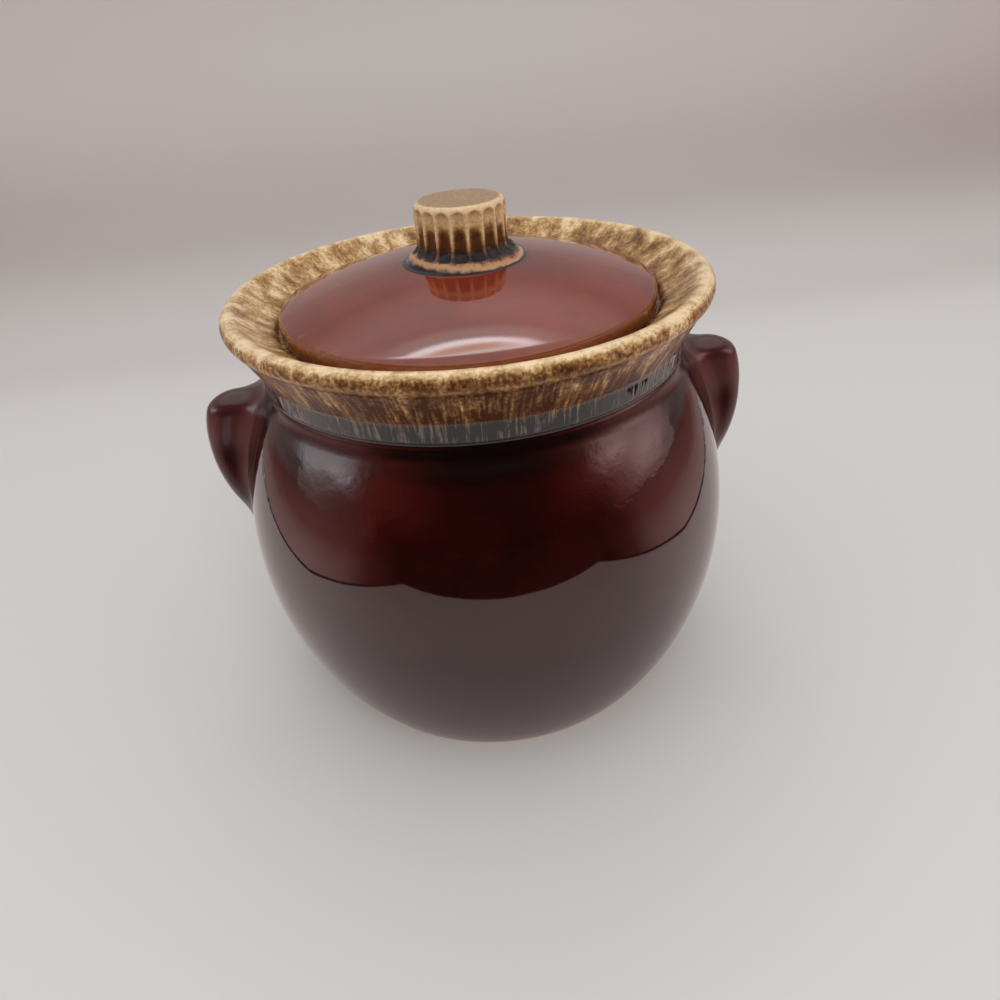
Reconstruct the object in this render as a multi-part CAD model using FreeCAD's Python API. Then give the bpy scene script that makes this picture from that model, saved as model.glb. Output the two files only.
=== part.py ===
import FreeCAD, Part
import math
import os

# Stoneware bean pot with two lugs and a loose domed lid.
# Millimetres. The pot's axis is Z, its foot stands on Z = 0 and the lugs lie along X.
# Every outline is drawn in the XZ plane as (radius, height) and turned about Z.

Vector = FreeCAD.Vector
AXIS = Vector(0, 0, 1)
ORIGIN = Vector(0, 0, 0)
FLATNESS = 0.001

# Pot wall: one arc shapes foot, belly and shoulder
belly_radius = 84.3
belly_height = 60.0
body_curve = 109.0
wall = 6.0
floor_thickness = 7.5
floor_round = 14.0

# Foot: a flat standing ring around a shallow recess
foot_edge_round = 1.5
foot_ring_radius = 54.0
foot_recess = 1.6
foot_recess_slope = 1.8

# Neck and flared collar
neck_radius = 68.2
shoulder_cove = 12.0
neck_band = 6.7
neck_flare = 0.7
neck_round = 5.0
collar_rise = 16.5
rim_radius = 76.3
lip_round = 2.8
lip_underside_angle = 52.0

# Recess inside the collar that carries the lid
pocket_radius = 61.0
pocket_depth = 2.0
pocket_round = 2.5
seat_drop = 9.8
seat_round = 0.8
throat_radius = 56.5
ledge_thickness = 6.2

# Lugs: how far they stand out from the belly and rise above it
lug_projection = 9.8
lug_side_curve = 37.0
lug_middle_rise = 34.5
lug_top_rise = 54.1
lug_corner_round = 9.0
lug_thickness = 22.0
lug_edge_round = 7.0

# Lid
lid_side_clearance = 1.3
seat_gap = 0.3
lid_rise = 16.5
lid_crown_curve = 166.0
lid_shoulder_round = 2.2
lid_edge_round = 1.0
lid_thickness = 5.5
flange_clearance = 1.5
flange_depth = 7.8
flange_thickness = 5.0
flange_edge_round = 1.2
flange_root_round = 3.0

# Knob
knob_height = 16.4
knob_top_radius = 13.9
knob_waist_radius = 14.1
knob_waist_rise = 1.6
knob_top_round = 1.9
knob_foot_radius = 18.0
knob_foot_slope = 1.8
knob_foot_height = 2.4
knob_waist_round = 2.4
knob_foot_round = 1.4
flute_count = 18
flute_bearing = 4.0
flute_cutter_radius = 2.2
flute_depth = 1.0
flute_top_land = 1.9

# Places worked out from the sizes above
body_centre = (belly_radius - body_curve, belly_height)
cove_reach = neck_radius + shoulder_cove - body_centre[0]
neck_height = belly_height + math.sqrt((body_curve + shoulder_cove) ** 2 - cove_reach ** 2)
band_top = neck_height + neck_band
rim_height = band_top + collar_rise
lug_reach = belly_radius + lug_projection
lug_middle_height = belly_height + lug_middle_rise
lug_top_height = belly_height + lug_top_rise
lip_centre = (rim_radius - lip_round, rim_height - lip_round)
seat_height = rim_height - seat_drop
lid_underside = seat_height + seat_gap
lid_radius = pocket_radius - lid_side_clearance
lid_apex = lid_underside + lid_rise
crown_centre = (0.0, lid_apex - lid_crown_curve)
flange_radius = throat_radius - flange_clearance
flange_bottom = lid_underside - flange_depth
knob_top = lid_apex + knob_height


class Outline:
    """A chain of straight and round edges in the XZ plane."""

    def __init__(self, start):
        self.first = start
        self.here = start
        self.edges = []

    def line_to(self, end):
        """Run straight to a point."""
        self.edges.append(Part.LineSegment(in_plane(self.here), in_plane(end)).toShape())
        self.here = end

    def arc_to(self, centre, end):
        """Run round a centre to a point, by the shorter way."""
        radius = math.dist(centre, end)
        toward = (self.here[0] + end[0] - 2 * centre[0], self.here[1] + end[1] - 2 * centre[1])
        middle = step(centre, toward, radius)
        self.edges.append(Part.Arc(in_plane(self.here), in_plane(middle), in_plane(end)).toShape())
        self.here = end

    def turn_at(self, corner, toward, rounding):
        """Run to a corner and round it off towards the next point."""
        back = unit(corner, self.here)
        ahead = unit(corner, toward)
        half_angle = math.acos(back[0] * ahead[0] + back[1] * ahead[1]) / 2
        reach = rounding / math.tan(half_angle)
        inward = (back[0] + ahead[0], back[1] + ahead[1])
        centre = step(corner, inward, rounding / math.sin(half_angle))
        self.line_to(step(corner, back, reach))
        self.arc_to(centre, step(corner, ahead, reach))

    def face(self):
        """Close the chain and fill it."""
        self.line_to(self.first)
        return Part.Face(Part.Wire(self.edges))

    def turned(self):
        """Close the chain, fill it and turn it once about the Z axis."""
        return self.face().revolve(ORIGIN, AXIS, 360)


def in_plane(point):
    """The 3-D point for a radius and a height."""
    return Vector(point[0], 0, point[1])


def unit(start, end):
    """The direction from one point to another."""
    length = math.dist(start, end)
    return ((end[0] - start[0]) / length, (end[1] - start[1]) / length)


def step(start, direction, length):
    """The point at a distance from another in a direction of any length."""
    size = math.hypot(direction[0], direction[1])
    return (start[0] + direction[0] / size * length, start[1] + direction[1] / size * length)


def round_to_upright(centre, curve, upright, rounding):
    """The centre of the round inside a large arc and against an upright line, and its end on the arc."""
    across = upright - rounding
    rise = math.sqrt((curve - rounding) ** 2 - (across - centre[0]) ** 2)
    round_centre = (across, centre[1] + rise)
    return round_centre, step(centre, unit(centre, round_centre), curve)


def round_to_level(centre, curve, level, rounding):
    """The centre of the round inside a large arc and on a level line below it, and its end on the arc."""
    height = level + rounding
    across = math.sqrt((curve - rounding) ** 2 - (centre[1] - height) ** 2)
    round_centre = (centre[0] + across, height)
    return round_centre, step(centre, unit(centre, round_centre), curve)


def tangent_point(start, centre, radius):
    """Where a line from a point touches a circle on the circle's upper side."""
    away = math.dist(start, centre)
    heading = math.atan2(centre[1] - start[1], centre[0] - start[0]) + math.asin(radius / away)
    reach = math.sqrt(away ** 2 - radius ** 2)
    return (start[0] + reach * math.cos(heading), start[1] + reach * math.sin(heading))


def crown_point(radius):
    """The point of the lid's crown at a radius."""
    return (radius, crown_centre[1] + math.sqrt(lid_crown_curve ** 2 - radius ** 2))


# Points of the body wall that more than one outline uses
cove_centre = (neck_radius + shoulder_cove, neck_height)
shoulder_end = step(body_centre, unit(body_centre, cove_centre), body_curve)
inner_shoulder_end = step(body_centre, unit(body_centre, cove_centre), body_curve - wall)
ridge_turn = math.radians(lip_underside_angle)
lip_ridge = (lip_centre[0] + lip_round * math.cos(ridge_turn), lip_centre[1] - lip_round * math.sin(ridge_turn))


def draw_outer_wall(outline):
    """Continue an outline from the foot ring up the outside of the pot to the ridge under the lip."""
    edge_centre, edge_end = round_to_level(body_centre, body_curve, 0.0, foot_edge_round)
    outline.line_to((edge_centre[0], 0.0))
    outline.arc_to(edge_centre, edge_end)
    outline.arc_to(body_centre, shoulder_end)
    outline.arc_to(cove_centre, (neck_radius, neck_height))
    outline.turn_at((neck_radius + neck_flare, band_top), lip_ridge, neck_round)
    outline.line_to(lip_ridge)


def draw_collar_inside(outline):
    """Continue an outline over the lip, down the funnel and pocket, and under the ledge to the inner neck."""
    pocket_top = (pocket_radius, seat_height + pocket_depth)
    pocket_bottom = (pocket_radius, seat_height)
    throat_top = (throat_radius, seat_height)
    throat_bottom = (throat_radius, seat_height - ledge_thickness)
    inner_neck_radius = neck_radius - wall
    under_ledge = (inner_neck_radius, throat_bottom[1] - (inner_neck_radius - throat_radius))
    outline.arc_to(lip_centre, tangent_point(pocket_top, lip_centre, lip_round))
    outline.turn_at(pocket_top, pocket_bottom, pocket_round)
    outline.turn_at(pocket_bottom, throat_top, seat_round)
    outline.turn_at(throat_top, throat_bottom, seat_round)
    outline.turn_at(throat_bottom, under_ledge, seat_round)
    outline.line_to(under_ledge)
    outline.line_to((inner_neck_radius, neck_height))


def make_pot_body():
    """The pot's wall in one piece, from the foot to the lip, with the ledge for the lid."""
    outline = Outline((0.0, foot_recess))
    outline.line_to((foot_ring_radius - foot_recess_slope, foot_recess))
    outline.line_to((foot_ring_radius, 0.0))
    draw_outer_wall(outline)
    draw_collar_inside(outline)
    outline.arc_to(cove_centre, inner_shoulder_end)
    corner_centre, corner_end = round_to_level(body_centre, body_curve - wall, floor_thickness, floor_round)
    outline.arc_to(body_centre, corner_end)
    outline.arc_to(corner_centre, (corner_centre[0], floor_thickness))
    outline.line_to((0.0, floor_thickness))
    return outline.turned()


def make_envelope():
    """The pot's outside as a filled solid, which trims the lugs to the wall."""
    outline = Outline((0.0, 0.0))
    draw_outer_wall(outline)
    outline.line_to((0.0, lip_ridge[1]))
    return outline.turned()


def make_lug(envelope, side):
    """A solid ear on one side of the shoulder: level on top, round outside and trimmed to the wall."""
    side_centre = (lug_reach - lug_side_curve, lug_middle_height)
    depth_to_top = lug_top_height - lug_middle_height
    corner_height = lug_top_height - lug_corner_round
    corner_across = math.sqrt((lug_side_curve - lug_corner_round) ** 2 - (depth_to_top - lug_corner_round) ** 2)
    corner_centre = (side_centre[0] + corner_across, corner_height)
    corner_end = step(side_centre, unit(side_centre, corner_centre), lug_side_curve)
    root = neck_radius - wall
    outline = Outline((root, lug_top_height))
    outline.line_to((corner_centre[0], lug_top_height))
    outline.arc_to(corner_centre, corner_end)
    outline.arc_to(side_centre, (lug_reach, lug_middle_height))
    drop = math.sqrt(lug_side_curve ** 2 - (root - side_centre[0]) ** 2)
    outline.arc_to(side_centre, (root, lug_middle_height - drop))
    slab = outline.face().extrude(Vector(0, lug_thickness, 0))
    slab.translate(Vector(0, -lug_thickness / 2, 0))
    level = [edge for edge in slab.Edges if edge.BoundBox.YLength < FLATNESS]
    outside = [edge for edge in level if edge.BoundBox.XMax > root + FLATNESS]
    ear = slab.makeFillet(lug_edge_round, outside).cut(envelope)
    if side < 0:
        ear.rotate(ORIGIN, AXIS, 180)
    return ear


def make_lid():
    """The domed lid with a level seat and a locating flange that hangs into the throat."""
    shoulder_centre, crown_end = round_to_upright(crown_centre, lid_crown_curve, lid_radius, lid_shoulder_round)
    flange_inside = flange_radius - flange_thickness
    inner_curve = lid_crown_curve - lid_thickness
    root_centre, inner_crown_end = round_to_upright(crown_centre, inner_curve, flange_inside, flange_root_round)
    seat_outer = (lid_radius, lid_underside)
    seat_inner = (flange_radius, lid_underside)
    flange_outer_foot = (flange_radius, flange_bottom)
    flange_inner_foot = (flange_inside, flange_bottom)
    outline = Outline((0.0, lid_apex))
    outline.arc_to(crown_centre, crown_end)
    outline.arc_to(shoulder_centre, (lid_radius, shoulder_centre[1]))
    outline.turn_at(seat_outer, seat_inner, lid_edge_round)
    outline.line_to(seat_inner)
    flange_inner_top = (flange_inside, root_centre[1])
    outline.turn_at(flange_outer_foot, flange_inner_foot, flange_edge_round)
    outline.turn_at(flange_inner_foot, flange_inner_top, flange_edge_round)
    outline.line_to(flange_inner_top)
    outline.arc_to(root_centre, inner_crown_end)
    outline.arc_to(crown_centre, (0.0, lid_apex - lid_thickness))
    return outline.turned()


def make_flute_cutter():
    """A round-ended upright bar that scoops one flute out of the knob."""
    axis_radius = knob_top_radius - flute_depth + flute_cutter_radius
    top = knob_top - flute_top_land - flute_cutter_radius
    bottom = crown_point(knob_foot_radius)[1] + knob_foot_height + flute_cutter_radius
    bar = Part.makeCylinder(flute_cutter_radius, top - bottom, Vector(axis_radius, 0, bottom), AXIS)
    for height in (bottom, top):
        bar = bar.fuse(Part.makeSphere(flute_cutter_radius, Vector(axis_radius, 0, height)))
    return bar


def make_knob():
    """The fluted knob on its spread foot, which lies face to face on the lid's crown."""
    foot_edge = crown_point(knob_foot_radius)
    foot_top = (knob_foot_radius - knob_foot_slope, foot_edge[1] + knob_foot_height)
    waist = (knob_waist_radius, foot_top[1] + knob_waist_rise)
    outline = Outline((0.0, knob_top))
    outline.turn_at((knob_top_radius, knob_top), waist, knob_top_round)
    outline.turn_at(waist, foot_top, knob_waist_round)
    outline.turn_at(foot_top, foot_edge, knob_foot_round)
    outline.line_to(foot_edge)
    outline.arc_to(crown_centre, (0.0, lid_apex))
    knob = outline.turned()
    cutter = make_flute_cutter()
    for index in range(flute_count):
        flute = cutter.copy()
        flute.rotate(ORIGIN, AXIS, flute_bearing + index * 360 / flute_count)
        knob = knob.cut(flute)
    return knob


def write(name, shape):
    """Write one piece as a STEP file of closed solids."""
    os.makedirs("parts", exist_ok=True)
    solids = shape.Solids
    piece = solids[0] if len(solids) == 1 else Part.makeCompound(solids)
    piece.exportStep(f"parts/{name}.step")
    print(f"{name}: {len(solids)} solid, {piece.Volume / 1000:.1f} cm3, valid {piece.isValid()}")


def main():
    """Make and write every piece."""
    envelope = make_envelope()
    write("pot_body", make_pot_body())
    write("left_lug", make_lug(envelope, -1))
    write("right_lug", make_lug(envelope, 1))
    write("lid", make_lid())
    write("lid_knob", make_knob())


main()
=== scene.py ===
import logging
import math
from dataclasses import dataclass, field, replace
from enum import Enum

import bmesh
import bpy
from mathutils import Matrix, Vector, noise


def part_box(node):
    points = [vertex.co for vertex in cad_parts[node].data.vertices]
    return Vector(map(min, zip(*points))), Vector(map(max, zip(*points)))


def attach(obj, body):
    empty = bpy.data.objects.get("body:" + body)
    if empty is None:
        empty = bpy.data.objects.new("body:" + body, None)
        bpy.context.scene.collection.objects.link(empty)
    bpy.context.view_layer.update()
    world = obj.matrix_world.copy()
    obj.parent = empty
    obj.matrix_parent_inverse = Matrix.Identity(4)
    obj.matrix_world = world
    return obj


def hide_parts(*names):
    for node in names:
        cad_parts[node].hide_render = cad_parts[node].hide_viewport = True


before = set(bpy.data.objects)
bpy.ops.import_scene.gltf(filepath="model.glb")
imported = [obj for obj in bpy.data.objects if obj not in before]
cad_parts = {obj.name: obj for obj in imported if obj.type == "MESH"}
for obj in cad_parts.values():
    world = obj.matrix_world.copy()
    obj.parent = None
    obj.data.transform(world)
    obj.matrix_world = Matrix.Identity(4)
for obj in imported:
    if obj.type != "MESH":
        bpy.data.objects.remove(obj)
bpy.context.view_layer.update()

log = logging.getLogger("bean_pot")

Node = bpy.types.Node
Socket = bpy.types.NodeSocket
Material = bpy.types.Material
Piece = bpy.types.Object
Mesh = bmesh.types.BMesh
Point = bmesh.types.BMVert
Colour = tuple[float, float, float]
Value = Socket | float | Colour

# A soft step from one place to another; a ramp also holds the values before and after it.
Span = tuple[float, float]
Ramp = tuple[float, float, float, float]

ORIGIN = Vector((0.0, 0.0, 0.0))
ACROSS = Vector((1.0, 0.0, 0.0))
DEEP = Vector((0.0, 1.0, 0.0))
UPRIGHT = Vector((0.0, 0.0, 1.0))
WHITE = (1.0, 1.0, 1.0)
PER_METRE = 1000.0
FULL_TURN = 2 * math.pi
SAME_PLACE = 1e-6
LEAST_ARC_STEPS = 3


class Body(Enum):
    """The moving bodies of the frame."""

    POT = "pot"
    LID = "lid"


class Slot(Enum):
    """The finishes that the record names."""

    BROWN = "brown_glaze"
    MOTTLED = "mottled_glaze"


class Layer(Enum):
    """Numbers that a mesh carries for its glaze."""

    RUN = "run"
    HOLLOW = "hollow"


def at(radius: float, height: float) -> Vector:
    """The point of the XZ plane at a radius and a height."""
    return Vector((radius, 0.0, height))


def meet(first: Vector, first_reach: float, second: Vector, second_reach: float) -> Vector:
    """Find where two circles of the XZ plane meet.

    Args:
        first: Centre of the first circle.
        first_reach: Radius of the first circle.
        second: Centre of the second circle.
        second_reach: Radius of the second circle.

    Returns:
        The meeting point on the left of the way from the first centre to the second, seen from the front.
    """
    span = second - first
    along = (span.length_squared + first_reach**2 - second_reach**2) / (2 * span.length)
    aside = math.sqrt(first_reach**2 - along**2)
    way = span.normalized()
    return first + way * along + Vector((-way.z, 0.0, way.x)) * aside


def soft_step(value: float) -> float:
    """A smooth step from 0 below 0 to 1 above 1."""
    held = min(max(value, 0.0), 1.0)
    return held * held * (3 - 2 * held)


def new_points(geometry: list) -> list[Point]:
    """The points among what an operator has made."""
    return [item for item in geometry if isinstance(item, Point)]


class Outline:
    """A chain of edges in the XZ plane, drawn by operators and then turned about the Z axis."""

    def __init__(self, start: Vector, spacing: float) -> None:
        """Start the chain.

        Args:
            start: First point of the chain.
            spacing: Widest distance between its points.
        """
        self.mesh = bmesh.new()
        self.run = self.mesh.verts.layers.float.new(Layer.RUN.value)
        self.spacing = spacing
        self.tip = bmesh.ops.create_vert(self.mesh, co=start)["vert"][0]
        self.first = self.tip

    def line_to(self, end: Vector) -> None:
        """Run straight to a point.

        Args:
            end: The point.
        """
        way = end - self.tip.co
        steps = max(1, math.ceil(way.length / self.spacing))
        for _ in range(steps):
            self.tip = bmesh.ops.extrude_vert_indiv(self.mesh, verts=[self.tip])["verts"][0]
            bmesh.ops.translate(self.mesh, verts=[self.tip], vec=way / steps)

    def arc_to(self, centre: Vector, end: Vector) -> None:
        """Run round a centre to a point, by the shorter way.

        Args:
            centre: Centre of the arc.
            end: The point, as far from the centre as the chain's tip.
        """
        before = self.tip.co - centre
        after = end - centre
        turn = math.atan2(before.cross(after).dot(DEEP), before.dot(after))
        steps = max(LEAST_ARC_STEPS, math.ceil(abs(turn) * after.length / self.spacing))
        made = bmesh.ops.spin(
            self.mesh, geom=[self.tip], cent=centre, axis=DEEP, angle=turn, steps=steps
        )
        self.tip = new_points(made["geom_last"])[0]

    def turn_at(self, corner: Vector, toward: Vector, rounding: float) -> None:
        """Run to a corner and round it off.

        Args:
            corner: The sharp corner.
            toward: A point that the chain goes on towards.
            rounding: Radius of the round.
        """
        back = (self.tip.co - corner).normalized()
        ahead = (toward - corner).normalized()
        half = back.angle(ahead) / 2
        reach = rounding / math.tan(half)
        centre = corner + (back + ahead).normalized() * (rounding / math.sin(half))
        self.line_to(corner + back * reach)
        self.arc_to(centre, corner + ahead * reach)

    def points(self) -> list[Point]:
        """Follow the chain.

        Returns:
            Its points in order.
        """
        chain, edge = [self.first], None
        while True:
            edge = next((other for other in chain[-1].link_edges if other is not edge), None)
            if edge is None:
                return chain
            chain.append(edge.other_vert(chain[-1]))

    def swell(self, centre: Vector, push: Vector, spread: float) -> None:
        """Push the chain in a soft bell round a place on it, which dies away over the spread."""
        for point in self.points():
            point.co += push * math.exp(-((point.co - centre).length / spread) ** 2)

    def measure_run(self) -> None:
        """Store each point's distance from the highest point along the chain, positive before it, in mm."""
        chain = self.points()
        run = [0.0]
        for before, after in zip(chain, chain[1:]):
            run.append(run[-1] + (after.co - before.co).length * PER_METRE)
        top = max(range(len(chain)), key=lambda index: chain[index].co.z)
        for point, length in zip(chain, run):
            point[self.run] = run[top] - length

    def turned(self, steps: int) -> Mesh:
        """Turn the chain once about the Z axis.

        Args:
            steps: Number of segments round the axis.

        Returns:
            The closed round mesh, its faces pointing outwards.
        """
        mesh = self.mesh
        bmesh.ops.spin(
            mesh,
            geom=mesh.verts[:] + mesh.edges[:],
            cent=ORIGIN,
            axis=UPRIGHT,
            angle=FULL_TURN,
            steps=steps,
            use_merge=True,
        )
        bmesh.ops.remove_doubles(mesh, verts=mesh.verts[:], dist=SAME_PLACE)
        bmesh.ops.recalc_face_normals(mesh, faces=mesh.faces[:])
        return mesh


def settle(mesh: Mesh, amount: float, size: float) -> None:
    """Give a fired piece its slight unevenness: its skin sinks by up to an amount, in broad soft hollows.

    Args:
        mesh: The mesh to change.
        amount: Greatest depth.
        size: Width of a hollow.
    """
    mesh.normal_update()
    for vert in mesh.verts:
        depth = amount * (0.5 + 0.5 * noise.noise(vert.co / size))
        vert.co -= vert.normal * depth * min(1.0, abs(vert.co.z) / size)


def place_object(name: str, mesh: Mesh) -> Piece:
    """Turn a finished mesh into an object of the scene, shaded smooth.

    Args:
        name: Name of the object.
        mesh: Its mesh, in place, which this uses up.

    Returns:
        The new object.
    """
    data = bpy.data.meshes.new(name)
    mesh.to_mesh(data)
    mesh.free()
    data.shade_smooth()
    made = bpy.data.objects.new(name, data)
    bpy.context.scene.collection.objects.link(made)
    return made


def make_piece(name: str, mesh: Mesh, body: Body, slot: Slot, *nodes: str) -> Piece:
    """Turn a finished mesh into a piece that stands for nodes of the frame.

    Args:
        name: Name of the piece.
        mesh: Its mesh, in place.
        body: The body that it moves with.
        slot: The finish that it takes; not used.
        *nodes: The frame's nodes that it stands for.

    Returns:
        The new piece.
    """
    piece = place_object(name, mesh)
    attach(piece, body.value)
    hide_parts(*nodes)
    return piece


class Graph:
    """The nodes of one material or world, added call by call."""

    def __init__(self, tree: bpy.types.NodeTree) -> None:
        """Work on a node tree."""
        self.tree = tree

    def add(self, kind: str, inputs: dict[str | int, Value] | None = None, **settings: object) -> Node:
        """Add one node.

        Args:
            kind: Its type, without the ShaderNode that all types start with.
            inputs: Constants or sockets for its inputs.
            **settings: Its other settings.

        Returns:
            The node.
        """
        made = self.tree.nodes.new("ShaderNode" + kind)
        for name, value in settings.items():
            setattr(made, name, value)
        for key, value in (inputs or {}).items():
            self.feed(made.inputs[key], value)
        return made

    def feed(self, socket: Socket, value: Value) -> None:
        """Link a socket to an input, or set the input's constant.

        Args:
            socket: The input.
            value: What goes in.
        """
        if isinstance(value, Socket):
            self.tree.links.new(value, socket)
        elif isinstance(value, tuple) and socket.type == "RGBA":
            socket.default_value = (*value, 1.0)
        else:
            socket.default_value = value

    def maths(self, operation: str, *values: Value) -> Socket:
        """The result of arithmetic on up to three numbers."""
        return self.add("Math", dict(enumerate(values)), operation=operation).outputs[0]

    def times(self, first: Value, second: Value) -> Socket:
        """The product of two numbers."""
        return self.maths("MULTIPLY", first, second)

    def less(self, first: Value, second: Value) -> Socket:
        """The first number less the second."""
        return self.maths("SUBTRACT", first, second)

    def centred(self, pattern: Value) -> Socket:
        """A pattern from 0 to 1, moved to lie from -0.5 to 0.5."""
        return self.less(pattern, 0.5)

    def plus(self, base: Value, change: Value, share: Value = 1.0) -> Socket:
        """A number with a share of a change added to it."""
        return self.maths("MULTIPLY_ADD", change, share, base)

    def vector(self, operation: str, *values: Value) -> Socket:
        """The result of arithmetic on vectors: a number for a dot product or a length."""
        made = self.add("VectorMath", dict(enumerate(values)), operation=operation)
        return made.outputs[1 if operation in ("DOT_PRODUCT", "LENGTH") else 0]

    def scaled(self, vector: Value, size: float) -> Socket:
        """A vector times a number."""
        return self.add("VectorMath", {0: vector, "Scale": size}, operation="SCALE").outputs[0]

    def parts(self, vector: Value) -> list[Socket]:
        """The X, Y and Z of a vector."""
        return list(self.add("SeparateXYZ", {0: vector}).outputs)

    def rise(self, value: Value, low: float, high: float, start: Value = 0.0, end: Value = 1.0) -> Socket:
        """A soft step: from start below low to end above high."""
        inputs = {"Value": value, "From Min": low, "From Max": high, "To Min": start, "To Max": end}
        return self.add("MapRange", inputs, interpolation_type="SMOOTHSTEP").outputs[0]

    def fall(self, value: Value, low: float, high: float) -> Socket:
        """A soft step down: from 1 below low to 0 above high."""
        return self.rise(value, low, high, 1.0, 0.0)

    def blend(self, share: Value, first: Value, second: Value) -> Socket:
        """A number that goes softly from the first to the second with a share from 0 to 1."""
        return self.rise(share, 0.0, 1.0, first, second)

    def mix(self, share: Value, first: Value, second: Value) -> Socket:
        """Blend two colours.

        Args:
            share: How much of the second colour there is.
            first: The first colour.
            second: The second colour.

        Returns:
            The blend.
        """
        # The node's colour sockets come after those for numbers and vectors.
        made = self.add("Mix", data_type="RGBA")
        for index, value in ((0, share), (6, first), (7, second)):
            self.feed(made.inputs[index], value)
        return made.outputs[2]

    def clouds(self, place: Value, size: float, detail: float = 2.0, rough: float = 0.5) -> Socket:
        """Soft noise from 0 to 1, with patches of about a size in the units of the place."""
        inputs = {"Vector": place, "Scale": 1.0 / size, "Detail": detail, "Roughness": rough}
        return self.add("TexNoise", inputs).outputs[0]

    def chart(self, value: Value, stops: list[tuple[float, tuple[float, ...]]]) -> Node:
        """Look up numbers that change with a value.

        Args:
            value: Where to look, within the stops' own range.
            stops: Places in rising order, each with three numbers, or four where the last is the alpha.

        Returns:
            The ramp, with its colour and its alpha at the value.
        """
        low, high = stops[0][0], stops[-1][0]
        made = self.add("ValToRGB")
        share = self.add("MapRange", {"Value": value, "From Min": low, "From Max": high})
        self.feed(made.inputs[0], share.outputs[0])
        ramp = made.color_ramp
        while len(ramp.elements) < len(stops):
            ramp.elements.new(0.5)
        for element, (place, colour) in zip(ramp.elements, stops):
            element.position = (place - low) / (high - low)
            element.color = (*colour, 1.0)[:4]
        return made


# The patterns that the glazes share: sizes and depth in millimetres, then plain shares.
PATTERN_RADIUS = 76.0
SKIN_WAVE = 14.0
SKIN_PEEL = 1.6
SKIN_DEPTH = 0.03
PEEL_SHARE = 0.08
FLECK_ROUGH = 0.6


class Surface(Graph):
    """A material's nodes, with its place on the piece in millimetres."""

    def __init__(self, name: str) -> None:
        """Start a material.

        Args:
            name: Name of the material.
        """
        self.material = bpy.data.materials.new(name)
        self.material.use_nodes = True
        super().__init__(self.material.node_tree)
        self.shader = self.tree.nodes["Principled BSDF"]
        self.place = self.scaled(self.add("TexCoord").outputs["Object"], PER_METRE)
        self.across, deep, self.height = self.parts(self.place)
        flat = self.add("CombineXYZ", {0: self.across, 1: deep}).outputs[0]
        self.radius = self.vector("LENGTH", flat)
        self.heading = self.vector("NORMALIZE", flat)

    def off_centre(self, lean: float) -> Socket:
        """Radius in millimetres, less by a lean on the +X side and more on the other."""
        return self.plus(self.radius, self.parts(self.heading)[0], -lean)

    def carried(self, layer: Layer) -> Socket:
        """A number that the mesh carries."""
        return self.add("Attribute", attribute_name=layer.value).outputs["Fac"]

    def around(self, along: Value, stretch: float) -> Socket:
        """Find a place for patterns that run up and down a round wall.

        Args:
            along: Distance up or down the wall, in millimetres.
            stretch: How many times longer than wide the pattern is.

        Returns:
            The place as a vector in millimetres.
        """
        ring = self.scaled(self.heading, PATTERN_RADIUS)
        drop = self.add("CombineXYZ", {2: self.maths("DIVIDE", along, stretch)}).outputs[0]
        return self.vector("ADD", ring, drop)

    def skin(self) -> Socket:
        """Shape the relief that any glaze has.

        Returns:
            A slow undulation with fine orange peel on it.
        """
        slow = self.clouds(self.place, SKIN_WAVE, detail=1.0)
        peel = self.clouds(self.place, SKIN_PEEL)
        return self.plus(slow, peel, PEEL_SHARE)

    def finish(
        self, colour: Value, roughness: Value, relief: Value, ior: float, tint: Colour = WHITE
    ) -> Material:
        """Set the shader.

        Args:
            colour: Colour of the surface.
            roughness: Its roughness.
            relief: Height of its relief, in units of the skin's depth.
            ior: Its index of refraction.
            tint: Colour of what it mirrors.

        Returns:
            The finished material.
        """
        bump = self.add("Bump", {"Height": relief, "Distance": SKIN_DEPTH / PER_METRE, "Strength": 1.0})
        self.feed(self.shader.inputs["Base Color"], colour)
        self.feed(self.shader.inputs["Roughness"], roughness)
        self.feed(self.shader.inputs["IOR"], ior)
        self.feed(self.shader.inputs["Specular Tint"], tint)
        self.feed(self.shader.inputs["Normal"], bump.outputs[0])
        return self.material


@dataclass(frozen=True)
class BrownGlaze:
    """Deep glossy brown glaze: dark where it lies thick, redder where it lies thin."""

    thick: Colour
    thin: Colour
    patch: float = 26.0
    patch_edge: Span = (0.35, 0.7)
    gloss: float = 0.045
    ior: float = 1.72
    mirror_tint: Colour = (1.0, 0.86, 0.85)

    def patches(self, surface: Surface) -> Socket:
        """Where the glaze lies thin, in broad soft patches."""
        drift = surface.clouds(surface.place, self.patch, detail=4.0, rough=0.55)
        return surface.rise(drift, *self.patch_edge)

    def colour(self, surface: Surface, thinness: Value) -> Socket:
        """Colour of the glaze for a thinness from 0 to 1."""
        return surface.mix(thinness, self.thick, self.thin)


@dataclass(frozen=True)
class FoamGlaze:
    """Mottled tan glaze that breaks over brown in runs."""

    brown: Colour = (0.095, 0.030, 0.010)
    caramel: Colour = (0.26, 0.125, 0.042)
    caramel_tone: float = 0.35
    tan: Colour = (0.56, 0.33, 0.125)
    tan_tone: float = 0.65
    cream: Colour = (0.99, 0.76, 0.47)
    thinned: Colour = (0.19, 0.155, 0.125)
    gloss: float = 0.2
    dry: float = 0.36
    ior: float = 1.39
    blot_relief: float = 6.0

    def colour(self, surface: Surface, tone: Value) -> Socket:
        """Colour of the glaze for a tone from 0, brown, to 1, cream."""
        middle = [(self.caramel_tone, self.caramel), (self.tan_tone, self.tan)]
        return surface.chart(tone, [(0.0, self.brown), *middle, (1.0, self.cream)]).outputs[0]


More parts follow.
